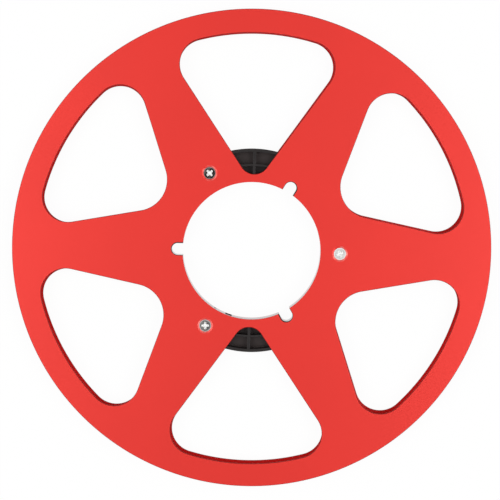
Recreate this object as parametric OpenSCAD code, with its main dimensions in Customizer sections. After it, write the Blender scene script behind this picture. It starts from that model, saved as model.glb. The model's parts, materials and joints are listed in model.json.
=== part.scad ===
// Tape reel for open-reel sound machines: two flat metal flanges screwed to a moulded core.
// It lies on its rear flange with the front flange up, and its spin axis is Z.
// The rear face is at Z = 0. One of the two deep windows points along +Y.

/* [Flanges] */
// Outside diameter of both flanges
reel_d = 266.7; // [240:0.1:300]
// Thickness of the sheet that each flange is cut from
flange_t = 0.9; // [0.7:0.05:1.2]
// Clear width between the flanges
tape_gap = 7.0; // [6.6:0.1:14]
// Width of the rim outside the windows
rim_w = 13.0; // [8:0.1:18]

/* [Windows] */
// Radius of the two outer corners of every window
window_corner_r = 14.0; // [8:0.1:17]
// Angle from the middle of a deep window to its straight side
deep_half_angle = 34.8; // [31:0.1:36]
// Radius of the inner end of a deep window
deep_end_r = 8.3; // [5:0.1:10]
// Metal between the flange's bore and the inner end of a deep window
deep_land = 4.4; // [3:0.1:7]
// Angle from the middle of a side window to its straight side
side_half_angle = 41.15; // [39:0.05:42]
// Radius of the inner end of a side window
side_end_r = 17.4; // [13:0.1:19]
// Metal between the core's outside and the inner end of a side window
side_land = 1.35; // [0.6:0.05:5]
// Turn of the rear flange's cut-outs against the front ones, in degrees
rear_turn = 0.36; // [0:0.02:0.6]

/* [Core] */
// Outside diameter of the core, where the tape is wound
core_d = 113.8; // [112:0.1:118]
// Diameter of the core's bore
bore_d = 76.7; // [74:0.1:78]
// Step from the core's bore out to the flange's bore
bore_step = 0.05; // [0:0.05:0.6]
// Thickness of the core's outer wall
core_wall = 1.8; // [1.2:0.1:3]
// Thickness of the core's bore wall
bore_wall = 2.0; // [1.5:0.1:3]
// Thickness of the floor that closes the core at the rear
core_floor = 2.5; // [0.8:0.1:4]
// Width of the radial ribs
rib_w = 1.5; // [1:0.1:2.5]
// Width of the ring rib
ring_rib_w = 1.2; // [0.8:0.1:2.5]
// Middle diameter of the ring rib
ring_rib_d = 95.7; // [93:0.1:102]

/* [Notches] */
// Width of each notch in the core
notch_w = 6.6; // [5:0.1:8]
// How far each notch reaches out from the core's bore
notch_reach = 6.15; // [4.5:0.05:7]
// Step from the core's notch out to the flange's notch
notch_step = 0.4; // [0.1:0.05:0.6]
// Thickness of the wall round each notch
notch_wall = 2.0; // [1.2:0.1:2.5]
// Turn of the core's notches against the front flange's, in degrees
core_turn = 0.2; // [0:0.02:0.5]

/* [Gate mark] */
// Length of the moulding gate's mark in the bore wall
gate_l = 3.7; // [2:0.1:6]
// Height of the gate's mark
gate_h = 4.4; // [1:0.1:5]
// Depth of the gate's mark
gate_depth = 0.6; // [0.3:0.05:1.2]
// Rise of the gate's mark above the core's rear face
gate_rise = 0.2; // [0.2:0.05:1.5]

/* [Screws] */
// Diameter of the circle that the screws lie on
screw_circle_d = 98.4; // [96:0.1:101]
// Diameter of a screw's countersunk head
head_d = 6.8; // [6:0.1:7.4]
// Height of the straight edge of a screw's head
head_land = 0.25; // [0.1:0.05:0.4]
// Depth of a screw's head below the flange's outside
head_sink = 0.05; // [0:0.01:0.15]
// Diameter of the screw's thread
thread_d = 3.5; // [3:0.1:4]
// Free space between the tips of a front and a rear screw
tip_gap = 0.8; // [0.4:0.1:2]
// Span of the cross recess at the top of the head
recess_span = 4.2; // [3.4:0.1:4.8]
// Width of each slot of the cross recess
recess_slot = 0.9; // [0.6:0.05:1.2]
// Depth of the cross recess
recess_depth = 1.2; // [0.8:0.05:1.5]

/* [Bosses and bushes] */
// Diameter of each screw boss in the core
boss_d = 10.4; // [9.6:0.1:12]
// Diameter of each threaded bush
bush_d = 5.4; // [4.8:0.1:6]
// Depth of the groove round each threaded bush
bush_groove = 0.3; // [0.1:0.05:0.5]
// Width of the groove round each threaded bush
bush_groove_w = 1.2; // [0.8:0.1:2]

/* [Clearances] */
// Radial gap between a screw's head and its seat
seat_gap = 0.05; // [0.02:0.01:0.15]
// Radial gap between a screw and the hole in the flange
hole_gap = 0.25; // [0.1:0.05:0.4]
// Radial gap between a screw and its threaded bush
thread_gap = 0.05; // [0.02:0.01:0.1]
// Radial gap between a threaded bush and its boss
bush_gap = 0.02; // [0.01:0.01:0.05]
// Gap between the flange's pressed seat and the core's
dimple_gap = 0.1; // [0.05:0.01:0.2]

/* [Hidden] */
$fn = 128;

red = [0.87, 0.13, 0.10];
black = [0.10, 0.09, 0.09];
steel = [0.72, 0.73, 0.75];
brass = [0.78, 0.62, 0.30];

// Bearings are degrees round the spin axis, from +X towards +Y
deep_bearings = [90, 270];
side_bearings = [30, 150, 210, 330];
screw_bearings = [0, 120, 240];
notch_bearings = [60, 180, 300];
rib_bearings = [0 : 30 : 330];
gate_bearing = 252.0;

cut = 1;
run_in = 0.002;
reel_r = reel_d / 2;
reel_t = tape_gap + 2 * flange_t;
window_r = reel_r - rim_w;
core_r = core_d / 2;
bore_r = bore_d / 2;
flange_bore_r = bore_r + bore_step;
screw_circle_r = screw_circle_d / 2;
core_notch_end = bore_r + notch_reach;

// The seat is a 45 degree cone, so its radius falls by as much as its depth grows
head_r = head_d / 2;
thread_r = thread_d / 2;
head_h = head_land + head_r - thread_r;
seat_mouth_r = head_r + head_land + head_sink + seat_gap;
flange_hole_r = thread_r + hole_gap;
seat_depth = seat_mouth_r - flange_hole_r;
dimple_foot = seat_depth - flange_t;
dimple_mouth_r = seat_mouth_r + flange_t * (sqrt(2) - 1);
screw_l = (reel_t - tip_gap) / 2 - head_sink;
bush_recess = dimple_foot + 2 * dimple_gap;
bush_l = tape_gap - 2 * bush_recess;
tip_chamfer = 0.3;

module ring(outer_r, inner_r) {
    difference() {
        circle(outer_r);
        circle(inner_r);
    }
}

// A slot from the middle of the reel out to end_r, with a round end
module notch(width, end_r) {
    union() {
        translate([0, -width / 2]) square([end_r - width / 2, width]);
        translate([end_r - width / 2, 0]) circle(width / 2);
    }
}

// One window, drawn round +Y: a round inner end, two straight sides that spread by half_angle
// from the middle line, two round corners, and an outer arc concentric with the reel. The end and
// the corners are wider than the arcs that touch the sides by run_in, so that they cross the sides.
module window(half_angle, end_y, end_r) {
    across = [cos(half_angle), -sin(half_angle)];
    along = [sin(half_angle), cos(half_angle)];
    end_centre = [0, end_y + end_r];
    side_start = end_centre + end_r * across;
    corner_line = end_centre + (end_r - window_corner_r) * across;
    b = corner_line * along;
    c = corner_line * corner_line - pow(window_r - window_corner_r, 2);
    side_l = -b + sqrt(b * b - c);
    corner = corner_line + side_l * along;
    side_finish = side_start + side_l * along;
    beyond = corner * (1.3 * window_r / norm(corner));
    half = [side_start, side_finish, corner, beyond];
    union() {
        translate(end_centre) circle(end_r + run_in);
        for (side = [-1, 1]) translate([side * corner[0], corner[1]])
            circle(window_corner_r + run_in);
        intersection() {
            circle(window_r);
            polygon(concat(half, [for (i = [3 : -1 : 0]) [-half[i][0], half[i][1]]]));
        }
    }
}

module flange_outline() {
    difference() {
        circle(reel_r);
        circle(flange_bore_r);
        for (bearing = notch_bearings) rotate(bearing)
            notch(notch_w + 2 * notch_step, core_notch_end + notch_step);
        for (bearing = deep_bearings) rotate(bearing - 90)
            window(deep_half_angle, flange_bore_r + deep_land, deep_end_r);
        for (bearing = side_bearings) rotate(bearing - 90)
            window(side_half_angle, core_r + side_land, side_end_r);
    }
}

module at_screws() {
    for (bearing = screw_bearings) rotate(bearing) translate([screw_circle_r, 0, 0]) children();
}

// Outside face at Z = 0, with the sheet and its pressed seats below it
module flange(turn) {
    difference() {
        union() {
            translate([0, 0, -flange_t]) linear_extrude(flange_t) rotate(turn) flange_outline();
            at_screws() translate([0, 0, -seat_depth])
                cylinder(h = dimple_foot, r1 = dimple_mouth_r - dimple_foot, r2 = dimple_mouth_r);
        }
        at_screws() rotate_extrude() polygon([
            [0, cut], [seat_mouth_r + cut, cut], [flange_hole_r, -seat_depth],
            [flange_hole_r, -seat_depth - cut], [0, -seat_depth - cut]]);
    }
}

module front_flange() {
    color(red) translate([0, 0, reel_t]) flange(0);
}

module rear_flange() {
    color(red) mirror([0, 0, 1]) flange(rear_turn);
}

module core_walls() {
    ring(core_r, core_r - core_wall);
    ring(bore_r + bore_wall, bore_r);
    ring(ring_rib_d / 2 + ring_rib_w / 2, ring_rib_d / 2 - ring_rib_w / 2);
    for (bearing = rib_bearings) rotate(bearing)
        translate([bore_r + bore_wall / 2, -rib_w / 2])
            square([core_r - core_wall / 2 - bore_r - bore_wall / 2, rib_w]);
    for (bearing = notch_bearings) rotate(bearing + core_turn)
        notch(notch_w + 2 * notch_wall, core_notch_end + notch_wall);
    for (bearing = screw_bearings) rotate(bearing) translate([screw_circle_r, 0]) circle(boss_d / 2);
}

// The bush's hole, with a 45 degree cone at each mouth for the flange's pressed seat
module boss_hole() {
    mouth_r = dimple_mouth_r + dimple_gap;
    well = dimple_foot + dimple_gap;
    rotate_extrude() polygon([
        [0, -cut], [mouth_r + cut, -cut], [mouth_r - well, well], [bush_d / 2 + bush_gap, well],
        [bush_d / 2 + bush_gap, tape_gap - well], [mouth_r - well, tape_gap - well],
        [mouth_r + cut, tape_gap + cut], [0, tape_gap + cut]]);
}

module core() {
    color(black) translate([0, 0, flange_t]) difference() {
        union() {
            linear_extrude(core_floor) circle(core_r);
            linear_extrude(tape_gap) core_walls();
        }
        translate([0, 0, -cut]) cylinder(h = tape_gap + 2 * cut, r = bore_r);
        for (bearing = notch_bearings) rotate(bearing + core_turn) translate([0, 0, -cut])
            linear_extrude(tape_gap + 2 * cut) notch(notch_w, core_notch_end);
        at_screws() boss_hole();
        rotate(gate_bearing) translate([0, -gate_l / 2, gate_rise])
            cube([bore_r + gate_depth, gate_l, gate_h]);
    }
}

module threaded_bush(bearing) {
    r = bush_d / 2;
    color(brass) translate([0, 0, flange_t + bush_recess]) rotate(bearing) translate([screw_circle_r, 0, 0])
        rotate_extrude() polygon([
            [thread_r + thread_gap, 0], [r, 0], [r, (bush_l - bush_groove_w) / 2],
            [r - bush_groove, (bush_l - bush_groove_w) / 2], [r - bush_groove, (bush_l + bush_groove_w) / 2],
            [r, (bush_l + bush_groove_w) / 2], [r, bush_l], [thread_r + thread_gap, bush_l]]);
}

// Top of the head at Z = 0, with the tip down
module screw() {
    difference() {
        rotate_extrude() polygon([
            [0, 0], [head_r, 0], [head_r, -head_land], [thread_r, -head_h],
            [thread_r, tip_chamfer - screw_l], [thread_r - tip_chamfer, -screw_l], [0, -screw_l]]);
        for (slot = [0, 90]) rotate(slot) translate([0, recess_slot / 2, 0]) rotate([90, 0, 0])
            linear_extrude(recess_slot) polygon([
                [-recess_span / 2, cut], [-recess_span / 2, 0], [recess_depth - recess_span / 2, -recess_depth],
                [recess_span / 2 - recess_depth, -recess_depth], [recess_span / 2, 0], [recess_span / 2, cut]]);
    }
}

module front_screw(bearing) {
    color(steel) rotate(bearing) translate([screw_circle_r, 0, reel_t - head_sink]) screw();
}

module rear_screw(bearing) {
    color(steel) rotate(bearing) translate([screw_circle_r, 0, head_sink]) mirror([0, 0, 1]) screw();
}

front_flange();
rear_flange();
core();
for (i = [0 : len(screw_bearings) - 1]) {
    threaded_bush(screw_bearings[i]);
    front_screw(screw_bearings[i]);
    rear_screw(screw_bearings[i]);
}
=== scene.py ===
import json
import math

import bmesh
import bpy
from mathutils import Matrix, Vector
from mathutils.geometry import tessellate_polygon


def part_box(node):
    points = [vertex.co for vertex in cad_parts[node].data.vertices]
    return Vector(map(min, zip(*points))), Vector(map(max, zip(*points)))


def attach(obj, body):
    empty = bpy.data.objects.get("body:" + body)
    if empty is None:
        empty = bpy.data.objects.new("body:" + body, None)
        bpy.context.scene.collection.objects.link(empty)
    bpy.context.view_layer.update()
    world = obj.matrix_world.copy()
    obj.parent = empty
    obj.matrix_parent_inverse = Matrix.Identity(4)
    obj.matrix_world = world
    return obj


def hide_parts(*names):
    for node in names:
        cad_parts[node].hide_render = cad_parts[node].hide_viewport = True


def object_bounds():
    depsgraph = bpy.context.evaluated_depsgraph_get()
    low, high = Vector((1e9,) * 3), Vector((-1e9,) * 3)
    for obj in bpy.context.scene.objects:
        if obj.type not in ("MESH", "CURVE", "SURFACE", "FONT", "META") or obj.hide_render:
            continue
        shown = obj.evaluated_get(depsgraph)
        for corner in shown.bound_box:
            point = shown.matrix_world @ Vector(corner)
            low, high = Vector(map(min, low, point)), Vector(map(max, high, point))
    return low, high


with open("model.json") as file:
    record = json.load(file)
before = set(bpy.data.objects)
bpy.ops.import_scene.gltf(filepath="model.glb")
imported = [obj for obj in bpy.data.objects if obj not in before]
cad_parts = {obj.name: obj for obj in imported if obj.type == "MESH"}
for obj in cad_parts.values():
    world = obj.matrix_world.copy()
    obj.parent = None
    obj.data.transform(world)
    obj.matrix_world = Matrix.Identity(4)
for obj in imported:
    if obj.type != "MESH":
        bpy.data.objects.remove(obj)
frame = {"nodes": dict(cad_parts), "record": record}
cad_low, cad_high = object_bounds()

# Camera
# The reel is seen from in front, a little above its axis and from arm's length. Its top comes
# forward by 4.9 degrees, and it is turned clockwise in the picture by 1.8 degrees.
mm = 0.001
face = cad_high.z
lean, sway, roll = (math.radians(angle) for angle in (4.86, -0.08, -1.81))
reel_in_view = Vector((0.88, -0.64, -730.1)) * mm

camera = bpy.data.objects.new("camera", bpy.data.cameras.new("camera"))
bpy.context.scene.collection.objects.link(camera)
camera.data.lens = 94.5
camera.data.clip_start = 10 * mm
camera.data.clip_end = 20
view_of_reel = Matrix.Translation(reel_in_view)
for angle, axis in ((lean, "X"), (sway, "Y"), (roll, "Z")):
    view_of_reel = view_of_reel @ Matrix.Rotation(angle, 4, axis)
camera.matrix_world = (view_of_reel @ Matrix.Translation((0, 0, -face))).inverted()
bpy.context.scene.camera = camera
bpy.context.scene.view_settings.view_transform = "Standard"


# Floor and soft boxes
# The reel lies on white paper that runs up into a white wall, in a dim room. Two large soft boxes
# hang at the camera's left and right, and a weak third one beyond the reel's top. Paper and wall
# look plain white to the eye and in what shines, and the paper keeps a light shadow.
def add(tree, kind, inputs=(), **settings):
    """A new node in tree. An input takes a value, another node's output, or a list of outputs."""
    made = tree.nodes.new(kind)
    for name, value in settings.items():
        setattr(made, name, value)
    for name, value in dict(inputs).items():
        if isinstance(value, bpy.types.NodeSocket):
            value = [value]
        if isinstance(value, list):
            for output in value:
                tree.links.new(output, made.inputs[name])
        else:
            made.inputs[name].default_value = value
    return made


def new_material(name, numbers=()):
    """A material, its tree and its Principled shader, with numbers set on the shader's sockets"""
    made = bpy.data.materials.new(name)
    made.use_nodes = True
    shader = made.node_tree.nodes["Principled BSDF"]
    for socket, value in dict(numbers).items():
        shader.inputs[socket].default_value = value
    return made, made.node_tree, shader


def math_node(tree, operation, *values):
    """The result of a Math node"""
    return add(tree, "ShaderNodeMath", dict(enumerate(values)), operation=operation).outputs[0]


def mapped(tree, value, at_start, at_end, start=0.0, end=1.0, **settings):
    """at_start where the value is at start or below, at_end where it is at end or above"""
    return add(tree, "ShaderNodeMapRange", {"Value": value, "From Min": start, "From Max": end,
               "To Min": at_start, "To Max": at_end}, **settings).outputs["Result"]


def height_of(tree, vector):
    """The Z of a vector"""
    return add(tree, "ShaderNodeSeparateXYZ", {"Vector": vector}).outputs["Z"]


def own_place(tree):
    """The place of a point in its object"""
    return add(tree, "ShaderNodeTexCoord").outputs["Object"]


def noise(tree, place, scale, detail):
    """Noise from 0 to 1 at a place"""
    return add(tree, "ShaderNodeTexNoise", {"Vector": place, "Scale": scale,
               "Detail": detail}).outputs["Fac"]


def coloured(tree, amount, *stops):
    """A colour that runs between two stops, each an amount and the colour there"""
    ramp = add(tree, "ShaderNodeValToRGB", {"Fac": amount})
    for element, (position, colour) in zip(ramp.color_ramp.elements, stops):
        element.position = position
        element.color = (*colour, 1)
    return ramp.outputs["Color"]


def seen_directly(tree):
    """1 where the camera sees a surface, also mirrored or through glass, and 0 where it lights another"""
    ray = add(tree, "ShaderNodeLightPath").outputs
    shown = math_node(tree, "MAXIMUM", ray["Is Camera Ray"], ray["Is Glossy Ray"])
    return math_node(tree, "MAXIMUM", shown, ray["Is Transmission Ray"])


paper_size = 6.0
paper_glow = 0.95
room_light = 0.375
wall_full, wall_end = 0.15, 0.45  # how steep a view is where the wall is still white, and where it ends
soft_boxes = [  # place, width, height and power
    (Vector((-0.86, -0.035, 1.06)), 1.38, 0.82, 9.5),
    (Vector((0.86, -0.035, 1.06)), 1.38, 0.82, 9.5),
    (Vector((0.0, 1.25, 0.70)), 1.4, 0.6, 1.0),
]

paper, tree, shader = new_material("white paper", {"Roughness": 0.9, "Specular IOR Level": 0.1})
tint = coloured(tree, noise(tree, own_place(tree), scale=900.0, detail=3.0),
                (0.0, (0.93, 0.93, 0.93)), (1.0, (0.97, 0.97, 0.97)))
tree.links.new(tint, shader.inputs["Base Color"])
white = add(tree, "ShaderNodeEmission", {"Color": (1, 1, 1, 1), "Strength": 1.0})
lit = add(tree, "ShaderNodeMixShader", {
    "Fac": math_node(tree, "MULTIPLY", seen_directly(tree), paper_glow),
    1: shader.outputs["BSDF"], 2: white.outputs["Emission"]})
tree.links.new(lit.outputs["Shader"], tree.nodes["Material Output"].inputs["Surface"])

floor_mesh = bpy.data.meshes.new("floor")
half = paper_size / 2
floor_mesh.from_pydata([(-half, -half, 0), (half, -half, 0), (half, half, 0), (-half, half, 0)], [],
                       [(0, 1, 2, 3)])
floor_mesh.materials.append(paper)
floor = bpy.data.objects.new("floor", floor_mesh)
bpy.context.scene.collection.objects.link(floor)

world = bpy.context.scene.world or bpy.data.worlds.new("room")
bpy.context.scene.world = world
world.use_nodes = True
tree = world.node_tree
tree.nodes.clear()
steepness = height_of(tree, add(tree, "ShaderNodeTexCoord").outputs["Generated"])
wall = mapped(tree, steepness, 1.0, 0.0, start=wall_full, end=wall_end,
              interpolation_type="SMOOTHSTEP")
wall = math_node(tree, "MULTIPLY", wall, seen_directly(tree))
room = add(tree, "ShaderNodeBackground", {
    "Color": (1, 1, 1, 1), "Strength": math_node(tree, "MAXIMUM", wall, room_light)})
add(tree, "ShaderNodeOutputWorld", {"Surface": room.outputs["Background"]})

for place, width, height, power in soft_boxes:
    lamp = bpy.data.lights.new("soft box", "AREA")
    lamp.shape = "RECTANGLE"
    lamp.size, lamp.size_y = width, height
    lamp.energy = power
    soft_box = bpy.data.objects.new("soft box", lamp)
    soft_box.location = place
    soft_box.rotation_euler = (-place).to_track_quat("-Z", "Y").to_euler()
    bpy.context.scene.collection.objects.link(soft_box)


# Core
# The hub that the tape is wound on, moulded in black plastic: a rim, a ring rib and twelve radial
# ribs on a floor, three bosses for the screws, and a bore with three notches for the spindle's
# lugs. Bore and notches are polished, and the bore has the gate's torn mark and a small nick.
core_low, core_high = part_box("core")
bore_r = next(m for m in frame["record"]["mounts"] if m["name"] == "spindle_bore")["dims"]["r_mm"] * mm
sheet = face - core_high.z
screw_circle_r = 49.2 * mm
screw_bearing = 0.0
notch_w = 6.6 * mm
notch_end = bore_r + 6.15 * mm
notch_bearing = math.radians(60.2)
seat_mouth_r = 3.75 * mm
press_depth = 0.85 * mm
seat_gap = 0.1 * mm
press_mouth_r = seat_mouth_r + sheet * (math.sqrt(2) - 1)
boss_mouth_r = press_mouth_r + seat_gap
bush_r = 2.7 * mm
bush_gap = 0.02 * mm
floor_t = 2.5 * mm

core_sizes = {
    "Rim radius": core_high.x,
    "Bore radius": bore_r,
    "Height": core_high.z - core_low.z,
    "Floor": floor_t,
    "Pocket outer radius": core_high.x - 1.8 * mm,
    "Pocket inner radius": bore_r + 2.0 * mm,
    "Ring rib outer radius": 48.45 * mm,
    "Ring rib inner radius": 47.25 * mm,
    "Rib width": 1.5 * mm,
    "Boss radius": 5.2 * mm,
    "Screw circle radius": screw_circle_r,
    "Bush hole radius": bush_r + bush_gap,
    "Notch width": notch_w,
    "Notch end": notch_end,
    "Notch wall": 2.0 * mm,
}
torn_marks = [  # the gate's mark and the nick: bearing, width, height, depth, rise from the rear face
    (math.radians(252.0), 3.8 * mm, 5.4 * mm, 0.75 * mm, 0.2 * mm),
    (math.radians(239.6), 1.3 * mm, 2.0 * mm, 0.25 * mm, 1.6 * mm),
]
mould_edge = 0.18 * mm
polished_edge = 0.3  # rounding of the bore's and notches' edges, as a share of mould_edge
mould_sharp = 35  # degrees, from which a bend is an edge


def mixed(tree, amount, first, second):
    """The first colour at amount 0 and the second at 1"""
    return add(tree, "ShaderNodeMix", {0: amount, 6: first, 7: second}, data_type="RGBA").outputs[2]


def bump(tree, shader, height, strength, distance):
    """Fine relief on the shader"""
    relief = add(tree, "ShaderNodeBump", {"Height": height, "Strength": strength, "Distance": distance})
    tree.links.new(relief.outputs["Normal"], shader.inputs["Normal"])


def black_plastic(name, roughness, ripple, numbers):
    """Black moulded plastic: worn a little lighter in patches, with fine grain from the mould, and a red
    tinge that is painted light thrown from the flanges
    """
    made, tree, shader = new_material(name, {"IOR": 1.5, **numbers})
    place = own_place(tree)
    patches = noise(tree, place, scale=140.0, detail=4.0)
    # The red tinge of this black is painted light from the red flanges
    tint = coloured(tree, patches, (0.3, (0.0110, 0.0080, 0.0080)), (0.75, (0.0165, 0.0120, 0.0120)))
    tree.links.new(tint, shader.inputs["Base Color"])
    sheen = mapped(tree, patches, roughness * 0.9, roughness * 1.15)
    tree.links.new(sheen, shader.inputs["Roughness"])
    grain = noise(tree, place, scale=5200.0, detail=2.0)
    bump(tree, shader, grain, strength=ripple, distance=0.03 * mm)
    return made


satin_black = black_plastic("satin black plastic", roughness=0.42, ripple=0.25, numbers={
    "Specular IOR Level": 0.38})
torn_black = black_plastic("torn black plastic", roughness=0.85, ripple=0.9, numbers={
    "Specular IOR Level": 0.05})
polished_black = black_plastic("polished black plastic", roughness=0.05, ripple=0.0, numbers={
    "Coat Weight": 0.55, "Coat Roughness": 0.03, "Coat IOR": 1.6})

# The pockets' floors, where they face up, are painted a lighter brown: painted light
painted_light_full = core_low.z + floor_t + 0.1 * mm
painted_light_end = core_low.z + floor_t + 1.6 * mm
painted_light_brown = (0.034, 0.022, 0.021, 1)
tree = satin_black.node_tree
base = tree.nodes["Principled BSDF"].inputs["Base Color"]
where = add(tree, "ShaderNodeTexCoord").outputs
near_floor = mapped(tree, height_of(tree, where["Object"]), 1.0, 0.0, start=painted_light_full, end=painted_light_end)
facing_up = mapped(tree, height_of(tree, where["Normal"]), 0.0, 1.0, start=0.3, end=0.9)
painted_light_mask = math_node(tree, "MULTIPLY", near_floor, facing_up)
tree.links.new(mixed(tree, painted_light_mask, base.links[0].from_socket, painted_light_brown), base)


def new_tree(name, sizes):
    """A Geometry Nodes tree with one named input for each size, and its inputs"""
    tree = bpy.data.node_groups.new(name, "GeometryNodeTree")
    tree.interface.new_socket("Geometry", in_out="INPUT", socket_type="NodeSocketGeometry")
    tree.interface.new_socket("Geometry", in_out="OUTPUT", socket_type="NodeSocketGeometry")
    for label, value in sizes.items():
        socket = tree.interface.new_socket(label, in_out="INPUT", socket_type="NodeSocketFloat")
        socket.default_value = value
    return tree, tree.nodes.new("NodeGroupInput").outputs


def moved(tree, shape, x=0.0, y=0.0, z=0.0, turn=(0.0, 0.0, 0.0)):
    """The shape turned, then moved"""
    place = add(tree, "ShaderNodeCombineXYZ", {"X": x, "Y": y, "Z": z}).outputs[0]
    return add(tree, "GeometryNodeTransform", {"Geometry": shape, "Translation": place,
               "Rotation": turn}).outputs[0]


def cylinder(tree, radius, depth, sides=192):
    """An upright cylinder, centred on the origin"""
    return add(tree, "GeometryNodeMeshCylinder", {"Vertices": sides, "Radius": radius,
               "Depth": depth}).outputs["Mesh"]


def cone(tree, foot_r, top_r, depth, sides):
    """An upright cone without its tip, standing on the origin"""
    return add(tree, "GeometryNodeMeshCone", {"Vertices": sides, "Radius Bottom": foot_r,
               "Radius Top": top_r, "Depth": depth}).outputs["Mesh"]


def block(tree, x, y, z):
    """A block, centred on the origin"""
    size = add(tree, "ShaderNodeCombineXYZ", {"X": x, "Y": y, "Z": z}).outputs[0]
    return add(tree, "GeometryNodeMeshCube", {"Size": size}).outputs["Mesh"]


def around(tree, shape, count, bearing):
    """Copies of the shape, evenly turned round the spin axis from a first bearing"""
    points = add(tree, "GeometryNodeMeshLine", {"Count": count, "Offset": (0, 0, 0)}).outputs["Mesh"]
    index = add(tree, "GeometryNodeInputIndex").outputs[0]
    turn = math_node(tree, "MULTIPLY_ADD", index, math.tau / count, bearing)
    rotation = add(tree, "ShaderNodeCombineXYZ", {"Z": turn}).outputs[0]
    return add(tree, "GeometryNodeInstanceOnPoints", {"Points": points, "Instance": shape,
               "Rotation": rotation}).outputs["Instances"]


def cut(tree, body, *tools):
    """The body with every tool's shape taken out of it"""
    return add(tree, "GeometryNodeMeshBoolean", {"Mesh 1": body, "Mesh 2": list(tools)},
               operation="DIFFERENCE", solver="EXACT").outputs["Mesh"]


def merged(tree, shape, distance):
    """The shape with points that lie within a distance made one"""
    return add(tree, "GeometryNodeMergeByDistance", {"Geometry": shape, "Distance": distance}).outputs[0]


def slot_shape(tree, width, end, depth):
    """A slot with a round end, from the spin axis out along +X: its straight part and its end"""
    end_r = math_node(tree, "MULTIPLY", width, 0.5)
    middle = math_node(tree, "SUBTRACT", end, end_r)
    straight = moved(tree, block(tree, middle, width, depth), x=math_node(tree, "MULTIPLY", middle, 0.5))
    round_end = moved(tree, cylinder(tree, end_r, depth, sides=64), x=middle)
    return straight, round_end


def stored(tree, shape, name, value, data_type, domain):
    """The shape with a value stored on it under a name"""
    return add(tree, "GeometryNodeStoreNamedAttribute", {"Geometry": shape, "Name": name, "Value": value},
               data_type=data_type, domain=domain).outputs["Geometry"]


def marked(tree, tool, finish):
    """The tool, marked so that what it cuts takes a finish of its own"""
    return stored(tree, tool, finish, True, "BOOLEAN", "FACE")


def has_mark(tree, finish):
    """Whether a face was cut by a tool with this mark"""
    return add(tree, "GeometryNodeInputNamedAttribute", {"Name": finish},
               data_type="BOOLEAN").outputs["Attribute"]


def finished(tree, shape, material, selection=True):
    """The shape with a material on its selected faces"""
    return add(tree, "GeometryNodeSetMaterial", {"Geometry": shape, "Selection": selection,
               "Material": material}).outputs[0]


tree, size = new_tree("moulded core", core_sizes)
through = math_node(tree, "MULTIPLY", size["Height"], 4.0)
pocket_middle = math_node(tree, "ADD", size["Floor"], math_node(tree, "MULTIPLY", through, 0.5))
drum = moved(tree, cylinder(tree, size["Rim radius"], size["Height"]),
             z=math_node(tree, "MULTIPLY", size["Height"], 0.5))
ring_rib = cut(tree, cylinder(tree, size["Ring rib outer radius"], through),
               cylinder(tree, size["Ring rib inner radius"], through))
rib = moved(tree, block(tree, size["Rim radius"], size["Rib width"], through),
            x=math_node(tree, "MULTIPLY", size["Rim radius"], 0.5))
boss = moved(tree, cylinder(tree, size["Boss radius"], through, sides=64), x=size["Screw circle radius"])
walls_width = math_node(tree, "MULTIPLY_ADD", size["Notch wall"], 2.0, size["Notch width"])
walls_end = math_node(tree, "ADD", size["Notch end"], size["Notch wall"])
notch_walls = [around(tree, part, 3, notch_bearing)
               for part in slot_shape(tree, walls_width, walls_end, through)]
pockets = cut(tree, cylinder(tree, size["Pocket outer radius"], through),
              cylinder(tree, size["Pocket inner radius"], through), ring_rib,
              around(tree, rib, 12, 0.0), around(tree, boss, 3, screw_bearing), *notch_walls)

# Each boss holds a bush, and opens at both ends in a cone that takes the pressed sheet
bush_hole = moved(tree, cylinder(tree, size["Bush hole radius"], through, sides=48),
                  x=size["Screw circle radius"])
mouth_l = 3.0 * mm
mouth_foot = press_depth + seat_gap
mouth_foot_r = boss_mouth_r - mouth_foot
boss_mouth = cone(tree, mouth_foot_r, mouth_foot_r + mouth_l, mouth_l, sides=48)
front_mouth = moved(tree, boss_mouth, x=size["Screw circle radius"],
                    z=math_node(tree, "SUBTRACT", size["Height"], mouth_foot))
rear_mouth = moved(tree, boss_mouth, x=size["Screw circle radius"], z=mouth_foot, turn=(math.pi, 0, 0))
bore = marked(tree, cylinder(tree, size["Bore radius"], through), "polished")
notches = [around(tree, marked(tree, part, "polished"), 3, notch_bearing)
           for part in slot_shape(tree, size["Notch width"], size["Notch end"], through)]
tears = []
for bearing, mark_w, mark_h, mark_depth, mark_rise in torn_marks:
    tear = moved(tree, block(tree, 2 * mark_depth, mark_w, mark_h), x=size["Bore radius"],
                 z=mark_rise + mark_h / 2)
    tears.append(around(tree, marked(tree, tear, "torn"), 1, bearing))
shape = cut(tree, drum, moved(tree, pockets, z=pocket_middle), bore, *notches, *tears,
            *[around(tree, tool, 3, screw_bearing) for tool in (bush_hole, front_mouth, rear_mouth)])
shape = moved(tree, merged(tree, shape, distance=0.001 * mm), z=core_low.z)
shape = add(tree, "GeometryNodeRealizeInstances", {"Geometry": shape}).outputs[0]

# Sharp edges are rounded, less at a polished face and not at all at a torn one
polished = has_mark(tree, "polished")
torn = has_mark(tree, "torn")
bend = add(tree, "GeometryNodeInputMeshEdgeAngle").outputs["Unsigned Angle"]
is_edge = math_node(tree, "GREATER_THAN", bend, math.radians(mould_sharp))
rounding = math_node(tree, "MULTIPLY_ADD", polished, polished_edge - 1, 1.0)
rounding = math_node(tree, "MULTIPLY", rounding, is_edge)
rounding = math_node(tree, "MULTIPLY", rounding, math_node(tree, "SUBTRACT", 1.0, torn))
shape = stored(tree, shape, "bevel_weight_edge", rounding, "FLOAT", "EDGE")
shape = finished(tree, shape, satin_black)
shape = finished(tree, shape, polished_black, polished)
shape = finished(tree, shape, torn_black, torn)
add(tree, "NodeGroupOutput", {"Geometry": shape})


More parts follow.
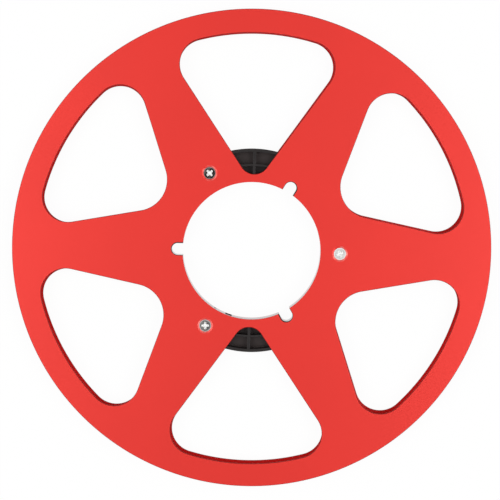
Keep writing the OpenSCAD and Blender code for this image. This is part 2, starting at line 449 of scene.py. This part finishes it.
def grow(name, tree, sizes, start=None):
    """A new object that the tree makes, from a starting mesh where the tree needs one"""
    made = bpy.data.objects.new(name, start or bpy.data.meshes.new(name))
    bpy.context.scene.collection.objects.link(made)
    modifier = made.modifiers.new("shape", "NODES")
    modifier.node_group = tree
    for socket in tree.interface.items_tree:
        if socket.in_out == "INPUT" and socket.name in sizes:
            modifier[socket.identifier] = sizes[socket.name]
    return made


def settle(piece, sharp):
    """The piece's finished shape as its plain mesh, flat where it is flat and smooth where it bends"""
    for step in ("shape", "shading"):
        bpy.context.view_layer.update()
        evaluated = piece.evaluated_get(bpy.context.evaluated_depsgraph_get())
        mesh = bpy.data.meshes.new_from_object(evaluated)
        piece.modifiers.clear()
        piece.data = mesh
        if step == "shape":
            mesh.shade_smooth()
            mesh.set_sharp_from_angle(angle=math.radians(sharp))
            piece.modifiers.new("even shading", "WEIGHTED_NORMAL").keep_sharp = True


core = grow("moulded_core", tree, core_sizes)
edges = core.modifiers.new("mould edges", "BEVEL")
edges.width = mould_edge
edges.segments = 2
edges.limit_method = "WEIGHT"
edges.use_clamp_overlap = False
settle(core, mould_sharp)
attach(core, "root")
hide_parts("core")


# Threaded bushes
# Three brass bushes, pressed into the core's bosses between the two flanges. They are turned from
# bar, with a groove round the middle that holds them in the plastic.
brass, tree, shader = new_material("turned brass", {"Metallic": 1.0})
turning = add(tree, "ShaderNodeTexWave", {"Vector": own_place(tree), "Scale": 900.0, "Distortion": 1.5,
              "Detail": 2.0}, bands_direction="Z").outputs["Fac"]
tint = coloured(tree, turning, (0.0, (0.66, 0.47, 0.19)), (1.0, (0.75, 0.56, 0.27)))
tree.links.new(tint, shader.inputs["Base Color"])
tree.links.new(mapped(tree, turning, 0.26, 0.36), shader.inputs["Roughness"])
for number in (1, 2, 3):
    bush = frame["nodes"][f"threaded_bush_{number}"]
    bush.data.materials.clear()
    bush.data.materials.append(brass)


# Rear flange
# A disc of 0.9 mm aluminium sheet, punched with two deep windows, four side windows and the notched
# bore, then bead-blasted and anodised red. The punch rounds the outside edge; below it the cut edge
# is coloured darker red. Round each screw the sheet is pressed in to a cone, so the head lies flush.
reel_r = cad_high.x
window_r = reel_r - 13.0 * mm
window_corner_r = 14.0 * mm
flange_bore_r = bore_r + 0.05 * mm
# A window's half angle, where its inner end lies, and that end's radius
deep_window = (math.radians(34.8), flange_bore_r + 4.4 * mm, 8.3 * mm)
side_window = (math.radians(41.15), core_high.x + 1.35 * mm, 17.4 * mm)
windows = [(deep_window, (90, 270)), (side_window, (30, 150, 210, 330))]  # with bearings in degrees
screw_bearings = (0, 120, 240)
notch_bearings = [math.radians(bearing) for bearing in (60, 180, 300)]
flange_notch_w = notch_w + 0.8 * mm
flange_notch_end = notch_end + 0.4 * mm
rear_turn = math.radians(0.36)  # how far the rear sheet is turned against the front one
outside_edge = 0.40 * mm
inside_edge = 0.15 * mm
screw_hole_r = 2.0 * mm
seat_bend = 1.7 * mm
seat_corner = 0.1 * mm
sheet_sharp = 50  # degrees, from which a bend is an edge
curve_step, rim_step, notch_step, hole_step = (step * mm for step in (0.9, 1.6, 0.4, 0.25))


def arc(centre, radius, start, end, step=curve_step, fewest=8):
    """Points on an arc, counterclockwise, with both its ends"""
    count = max(fewest, math.ceil(radius * (end - start) / step))
    angles = [start + (end - start) * i / count for i in range(count + 1)]
    return [Vector((centre[0] + radius * math.cos(a), centre[1] + radius * math.sin(a))) for a in angles]


def circle(radius, centre, step):
    """Points round a whole circle, counterclockwise"""
    return arc(centre, radius, 0.0, math.tau, step)[:-1]


def turned(outline, bearing):
    """An outline turned round the spin axis"""
    return [Matrix.Rotation(bearing, 2) @ point for point in outline]


def window_outline(half_angle, end_y, end_r):
    """A window about +Y: a round inner end, straight sides, two corners and an arc under the rim"""
    across = Vector((math.cos(half_angle), -math.sin(half_angle)))
    along = Vector((math.sin(half_angle), math.cos(half_angle)))
    end_centre = Vector((0, end_y + end_r))
    start = end_centre + (end_r - window_corner_r) * across
    lift = start.dot(along)
    reach = -lift + math.sqrt(lift ** 2 - start.length_squared + (window_r - window_corner_r) ** 2)
    corner = start + reach * along
    slope = math.atan2(corner.y, corner.x)
    return (arc(end_centre, end_r, math.pi + half_angle, math.tau - half_angle)
            + arc(corner, window_corner_r, -half_angle, slope)
            + arc((0, 0), window_r, slope, math.pi - slope)[1:-1]
            + arc((-corner.x, corner.y), window_corner_r, math.pi - slope, math.pi + half_angle))


def bore_outline(radius, width, end, bearings):
    """A round bore with a round-ended notch at each bearing"""
    half_w = width / 2
    half_turn = math.asin(half_w / radius)
    notch = arc((end - half_w, 0), half_w, -math.pi / 2, math.pi / 2, notch_step)
    outline = []
    for bearing, following in zip(bearings, bearings[1:] + [bearings[0] + math.tau]):
        outline += turned(notch, bearing)
        outline += arc((0, 0), radius, bearing + half_turn, following - half_turn)
    return outline


def spread(outline, distance):
    """The outline grown outwards by a distance, square to its sides"""
    grown = []
    for before, point, after in zip(outline[-1:] + outline[:-1], outline, outline[1:] + outline[:1]):
        normals = [Vector((side.y, -side.x)).normalized() for side in (point - before, after - point)]
        grown.append(point + distance * (normals[0] + normals[1]) / (1 + normals[0].dot(normals[1])))
    return grown


def bent(corners, steps=5):
    """A line with each inner corner (distance, height, radius) rounded to its radius, without its ends"""
    line = []
    for before, corner, after in zip(corners, corners[1:], corners[2:]):
        point, radius = Vector(corner[:2]), corner[2]
        arms = [(Vector(end[:2]) - point).normalized() for end in (before, after)]
        half_angle = arms[0].angle(arms[1]) / 2
        middle = point + (arms[0] + arms[1]).normalized() * radius / math.sin(half_angle)
        tangents = [point + arm * radius / math.tan(half_angle) for arm in arms]
        first, last = (math.atan2(*(t - middle).yx) for t in tangents)
        sweep = (last - first + math.pi) % math.tau - math.pi
        line += [middle + radius * Vector((math.cos(first + sweep * i / steps),
                 math.sin(first + sweep * i / steps))) for i in range(steps + 1)]
    return line


# Each edge goes from the outside face, at height 0, through the sheet to the inside one
cut_edge = bent([(sheet, 0, 0), (0, 0, outside_edge), (0, -sheet, inside_edge), (sheet, -sheet, 0)])
bored_edge = bent([(sheet, 0, 0), (0, 0, inside_edge), (0, -sheet, inside_edge), (sheet, -sheet, 0)])
darker_from = 1  # the band of a cut edge, counted from outside, from which it is coloured darker
seat_mouth = seat_mouth_r - screw_hole_r
seat_depth = seat_mouth  # a cone of 90 degrees is as deep as it is wide
press_mouth = press_mouth_r - screw_hole_r
flat = 3 * seat_mouth  # far enough out that the sheet is flat
pressed_seat = bent([
    (flat, 0, 0), (seat_mouth, 0, seat_bend), (0, -seat_depth, seat_corner),
    (press_mouth - (seat_depth - sheet), -seat_depth, seat_corner),
    (press_mouth, -sheet, seat_bend - sheet), (flat, -sheet, 0)])
halo_bands = range(1, 6)  # the bands of a pressed seat, counted from outside, that carry the painted highlight
skin, darker_edge_face, shaded_inner_skin = range(3)  # in the order in which flange_mesh adds the finishes


def flange_mesh(name, turn):
    """The flange as it lies at the front, its outside face at height 0"""
    bore = bore_outline(flange_bore_r, flange_notch_w, flange_notch_end, notch_bearings)
    edges = [(turned(circle(reel_r, (0, 0), rim_step), turn), [(-d, z) for d, z in cut_edge]),
             (turned(bore, turn), bored_edge)]
    for window, bearings in windows:
        for bearing in bearings:
            outline = turned(window_outline(*window), turn + math.radians(bearing - 90))
            edges.append((outline, cut_edge))
    for bearing in screw_bearings:
        hole = circle(screw_hole_r, (screw_circle_r, 0), hole_step)
        edges.append((turned(hole, math.radians(bearing)), pressed_seat))
    shape = bmesh.new()
    pressed = shape.verts.layers.float.new("pressed")
    rims = {0: [], -1: []}  # each edge's ring at the outside face and at the inside one
    for outline, line in edges:
        is_seat = line is pressed_seat
        is_punched = not is_seat and line is not bored_edge
        rings = [[shape.verts.new((p.x, p.y, z)) for p in spread(outline, d)] for d, z in line]
        for band, (upper, lower) in enumerate(zip(rings, rings[1:])):
            for i in range(len(upper)):
                # The bands of each seat are marked for the painted highlight
                upper[i][pressed] = float(is_seat and band in halo_bands)
                side = shape.faces.new((upper[i - 1], lower[i - 1], lower[i], upper[i]))
                side.material_index = darker_edge_face if is_punched and band >= darker_from else skin
        for end in rims:
            rims[end].append(rings[end])
    for end, loops in rims.items():
        corners = [corner for loop in loops for corner in loop]
        for triangle in tessellate_polygon([[v.co / mm for v in loop] for loop in loops]):
            sheet_face = shape.faces.new([corners[i] for i in triangle])
            # The inside face takes the darker red of painted shade
            sheet_face.material_index = skin if end == 0 else shaded_inner_skin
    bmesh.ops.recalc_face_normals(shape, faces=shape.faces)
    mesh = bpy.data.meshes.new(name)
    shape.to_mesh(mesh)
    shape.free()
    for finish in (anodised, darker_edge, shaded_inside_red):
        mesh.materials.append(finish)
    return mesh


# The pale pink painted round each screw's seat, a painted highlight
painted_halo_red = (0.95, 0.30, 0.26, 1)
blotchy, blotch_shift = 2.2, -0.80  # how unevenly the painted highlight pales the pressed sheet, and how much less of it does


def anodised_red(name, light_red, dark_red, coat):
    """Dyed aluminium, blasted fine: red metal under a clear oxide coat, with a painted pale highlight
    where the press bends it
    """
    made, tree, shader = new_material(name, {
        "Metallic": 0.56, "Coat Weight": coat, "Coat Roughness": 0.40, "Coat IOR": 1.5})
    place = own_place(tree)
    cloud = noise(tree, place, scale=22.0, detail=3.0)
    tint = coloured(tree, cloud, (0.3, dark_red), (0.7, light_red))
    pressed = add(tree, "ShaderNodeAttribute", attribute_name="pressed").outputs["Fac"]
    mottle = noise(tree, place, scale=260.0, detail=2.0)
    uneven = math_node(tree, "MULTIPLY_ADD", mottle, blotchy, blotch_shift)
    paler = mixed(tree, math_node(tree, "MULTIPLY", pressed, uneven), tint, painted_halo_red)
    tree.links.new(paler, shader.inputs["Base Color"])
    blasting = noise(tree, place, scale=4200.0, detail=3.0)
    tree.links.new(mapped(tree, blasting, 0.44, 0.52), shader.inputs["Roughness"])
    bump(tree, shader, blasting, strength=0.12, distance=0.02 * mm)
    return made


# The inside faces are painted a deeper, darker red with a thinner coat: painted shade between the flanges
anodised = anodised_red(
    "red anodised aluminium", light_red=(0.842, 0.0186, 0.0084), dark_red=(0.810, 0.0174, 0.0076),
    coat=0.71)
shaded_inside_red = anodised_red(
    "red anodised aluminium, inside, painted shade", light_red=(0.700, 0.0074, 0.0052), dark_red=(0.670, 0.0068, 0.0048),
    coat=0.30)

# The cut edges are coloured a dark red, rougher and duller than the faces
darker_edge, tree, shader = new_material("dark red edge of the sheet", {"Specular IOR Level": 0.2})
edge_mottle = noise(tree, own_place(tree), scale=1500.0, detail=3.0)
tint = coloured(tree, edge_mottle, (0.0, (0.22, 0.0078, 0.0062)), (1.0, (0.32, 0.0115, 0.0090)))
tree.links.new(tint, shader.inputs["Base Color"])
tree.links.new(mapped(tree, edge_mottle, 0.55, 0.70), shader.inputs["Roughness"])

rear = bpy.data.objects.new("rear_flange_sheet", flange_mesh("rear_flange_sheet", -rear_turn))
bpy.context.scene.collection.objects.link(rear)
rear.data.transform(Matrix.Rotation(math.pi, 4, "X"))
settle(rear, sheet_sharp)
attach(rear, "root")
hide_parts("rear_flange")


# Rear screws
# Three countersunk machine screws with cross recesses, zinc plated, flush in the rear flange. Each
# reaches through the flange into its brass bush. Their heads carry painted reflections and highlights.
head_r = 3.4 * mm
head_land = 0.25 * mm
head_chamfer = 0.12 * mm
head_sink = 0.05 * mm
thread_r = 1.75 * mm
thread_start = 0.15 * mm
thread_pitch = 0.6 * mm
thread_depth = 0.3 * mm
thread_fade = 0.25  # the part of the thread over which it runs out at each end
screw_l = 3.95 * mm
tip_chamfer = 0.3 * mm
centre_taper = 0.45  # the foot of the recess's centre, as a share of its top
proud = 0.001 * mm  # how far a recess's tools stand out of the head
screw_sharp = 35  # degrees, from which a bend is an edge
screw_sizes = {
    "Recess span": 4.4 * mm,
    "Recess foot": 2.2 * mm,
    "Recess depth": 1.35 * mm,
    "Slot width": 1.2 * mm,
    "Slot taper": 0.7,
    "Centre radius": 1.3 * mm,
    "Circle radius": screw_circle_r,
    "Head height": head_sink,
    "Flip": math.pi,
    "Turn 1": math.radians(25),
    "Turn 2": math.radians(45),
    "Turn 3": math.radians(2),
    "Shine 1": 0.1,
    "Shine 2": 1.0,
    "Shine 3": 0.72,
}


def screw_mesh(name, sides=48, rows_per_turn=8):
    """One screw with a plain head, its top at height 0 and its tip down"""
    head_h = head_land + head_r - thread_r
    line = [(head_r - head_chamfer, 0), (head_r, -head_chamfer), (head_r, -head_land), (thread_r, -head_h)]
    first_turn = -head_h - thread_start
    last_turn = -screw_l + tip_chamfer
    rows = math.ceil((first_turn - last_turn) / thread_pitch * rows_per_turn)
    shape = bmesh.new()
    angles = [math.tau * i / sides for i in range(sides)]

    def ring(radius_at, z):
        places = [(radius_at(a) * math.cos(a), radius_at(a) * math.sin(a), z) for a in angles]
        return [shape.verts.new(place) for place in places]

    rings = [ring(lambda a, r=r: r, z) for r, z in line]
    for row in range(rows + 1):
        z = first_turn + (last_turn - first_turn) * row / rows
        fade = min(1.0, row / rows / thread_fade, (rows - row) / rows / thread_fade)

        def groove(a, z=z, fade=fade):
            return thread_r - thread_depth * fade * abs(2 * ((z / thread_pitch + a / math.tau) % 1) - 1)

        rings.append(ring(groove, z))
    rings.append(ring(lambda a: thread_r - tip_chamfer, -screw_l))
    for upper, lower in zip(rings, rings[1:]):
        for i in range(sides):
            shape.faces.new((upper[i - 1], lower[i - 1], lower[i], upper[i]))
    shape.faces.new(rings[0])
    shape.faces.new(rings[-1])
    bmesh.ops.recalc_face_normals(shape, faces=shape.faces)
    mesh = bpy.data.meshes.new(name)
    shape.to_mesh(mesh)
    shape.free()
    return mesh


# A head with share 0 has satin plate and a rim painted pale and dull, a painted highlight. With share 1
# its top is polished and painted nearly black, a painted dark reflection. The recess is painted pale and
# dull, a painted highlight.
rim_from, rim_full, dark_end = 2.85 * mm, 3.15 * mm, 3.3 * mm  # distances from the head's axis
recess_from, recess_full = -0.05 * mm, -0.30 * mm  # heights against the head's top
fresh_roughness, worn_roughness, recess_roughness = 0.42, 0.16, 0.5
recess_metallic = 0.35
painted_recess_highlight = (0.96, 0.96, 0.95, 1)
zinc, tree, shader = new_material("bright zinc plate")
place = add(tree, "ShaderNodeAttribute", attribute_name="on_screw").outputs["Vector"]
shine = add(tree, "ShaderNodeAttribute", attribute_name="shine").outputs["Fac"]
across = add(tree, "ShaderNodeVectorMath", {0: place, 1: (1, 1, 0)}, operation="MULTIPLY").outputs[0]
across = add(tree, "ShaderNodeVectorMath", {0: across}, operation="LENGTH").outputs["Value"]
stain = noise(tree, own_place(tree), scale=420.0, detail=5.0)
rim_highlight_share = math_node(tree, "POWER", math_node(tree, "SUBTRACT", 1.0, shine), 0.7)
painted_rim_highlight = mapped(tree, across, 0.0, 0.8, start=rim_from, end=rim_full)
painted_rim_highlight = math_node(tree, "MULTIPLY", painted_rim_highlight, rim_highlight_share)
on_top = mapped(tree, height_of(tree, place), 0.0, 1.0, start=recess_full, end=recess_from)
on_top = math_node(tree, "MULTIPLY", on_top, math_node(tree, "SUBTRACT", 1.0, painted_rim_highlight))
inside_rim = mapped(tree, across, 1.0, 0.25, start=rim_from, end=dark_end)
# Painted dark reflection on the heads' tops
painted_dark = math_node(tree, "MULTIPLY", math_node(tree, "MULTIPLY", shine, on_top), inside_rim)
fresh = coloured(tree, stain, (0.0, (0.74, 0.74, 0.72)), (1.0, (0.88, 0.88, 0.87)))
dark = coloured(tree, stain, (0.42, (0.035, 0.030, 0.030)), (0.60, (0.30, 0.27, 0.25)))
# The recess and the rim are painted pale, as painted highlights
clean = mixed(tree, on_top, painted_recess_highlight, fresh)
tree.links.new(mixed(tree, painted_dark, clean, dark), shader.inputs["Base Color"])
sheen = mapped(tree, shine, fresh_roughness, worn_roughness)
sheen = math_node(tree, "MULTIPLY_ADD", stain, 0.08, sheen)
tree.links.new(mapped(tree, on_top, recess_roughness, sheen), shader.inputs["Roughness"])
tree.links.new(mapped(tree, on_top, recess_metallic, 1.0), shader.inputs["Metallic"])
turning = add(tree, "ShaderNodeTexWave", {"Vector": place, "Scale": 1400.0, "Distortion": 0.6,
              "Detail": 1.0}, wave_type="RINGS", rings_direction="Z").outputs["Fac"]
bump(tree, shader, turning, strength=0.1, distance=0.01 * mm)

screws, size = new_tree("cross recess screws", screw_sizes)
position = add(screws, "GeometryNodeInputPosition").outputs[0]
is_foot = math_node(screws, "LESS_THAN", height_of(screws, position), 0.0)
foot_share = math_node(screws, "DIVIDE", size["Recess foot"], size["Recess span"])
foot = add(screws, "ShaderNodeCombineXYZ", {"X": foot_share, "Y": size["Slot taper"], "Z": 1.0}).outputs[0]
narrowed = add(screws, "ShaderNodeVectorMath", {0: position, 1: foot}, operation="MULTIPLY").outputs[0]
slot = block(screws, size["Recess span"], size["Slot width"], size["Recess depth"])
slot = add(screws, "GeometryNodeSetPosition", {"Geometry": slot, "Selection": is_foot,
           "Position": narrowed}).outputs[0]
slot = moved(screws, slot, z=math_node(screws, "MULTIPLY_ADD", size["Recess depth"], -0.5, proud))
centre_foot_r = math_node(screws, "MULTIPLY", size["Centre radius"], centre_taper)
centre = cone(screws, centre_foot_r, size["Centre radius"], size["Recess depth"], sides=24)
centre = moved(screws, centre, z=math_node(screws, "MULTIPLY_ADD", size["Recess depth"], -1.0, proud))
one = cut(screws, size["Geometry"], slot, moved(screws, slot, turn=(0, 0, math.pi / 2)), centre)
one = merged(screws, one, distance=0.005 * mm)
one = stored(screws, one, "on_screw", position, "FLOAT_VECTOR", "POINT")


def own_size(label):
    """The size of this name and each screw's own number"""
    choice = add(screws, "GeometryNodeIndexSwitch", data_type="FLOAT")
    choice.index_switch_items.new()
    screws.links.new(add(screws, "GeometryNodeInputIndex").outputs[0], choice.inputs["Index"])
    for item in range(3):
        screws.links.new(size[f"{label} {item + 1}"], choice.inputs[item + 1])
    return choice.outputs[0]


points = add(screws, "GeometryNodeMeshCircle", {
    "Vertices": 3, "Radius": size["Circle radius"]}).outputs["Mesh"]
points = moved(screws, points, z=size["Head height"])
points = stored(screws, points, "shine", own_size("Shine"), "FLOAT", "POINT")
rotation = add(screws, "ShaderNodeCombineXYZ", {"X": size["Flip"], "Z": own_size("Turn")}).outputs[0]
shape = add(screws, "GeometryNodeInstanceOnPoints", {"Points": points, "Instance": one,
            "Rotation": rotation}).outputs["Instances"]
shape = add(screws, "GeometryNodeRealizeInstances", {"Geometry": shape}).outputs[0]
add(screws, "NodeGroupOutput", {"Geometry": finished(screws, shape, zinc)})

rear_screws = grow("rear_screws", screws, screw_sizes, screw_mesh("rear_screws"))
settle(rear_screws, screw_sharp)
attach(rear_screws, "root")
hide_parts("rear_screw_1", "rear_screw_2", "rear_screw_3")


# Front flange
# The same punched, blasted and anodised sheet as the rear flange, turned over. The three front
# screws hold it to the core.
front = bpy.data.objects.new("front_flange_sheet", flange_mesh("front_flange_sheet", 0.0))
bpy.context.scene.collection.objects.link(front)
front.data.transform(Matrix.Translation((0, 0, face)))
settle(front, sheet_sharp)
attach(front, "root")
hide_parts("front_flange")


# Front screws
# The same three zinc-plated screws from the front, through the front flange into the brass bushes.
# Their tips stop short of those of the rear screws.
screw_sizes["Head height"] = face - head_sink
screw_sizes["Flip"] = 0.0
front_screws = grow("front_screws", screws, screw_sizes, screw_mesh("front_screws"))
settle(front_screws, screw_sharp)
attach(front_screws, "root")
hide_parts("front_screw_1", "front_screw_2", "front_screw_3")
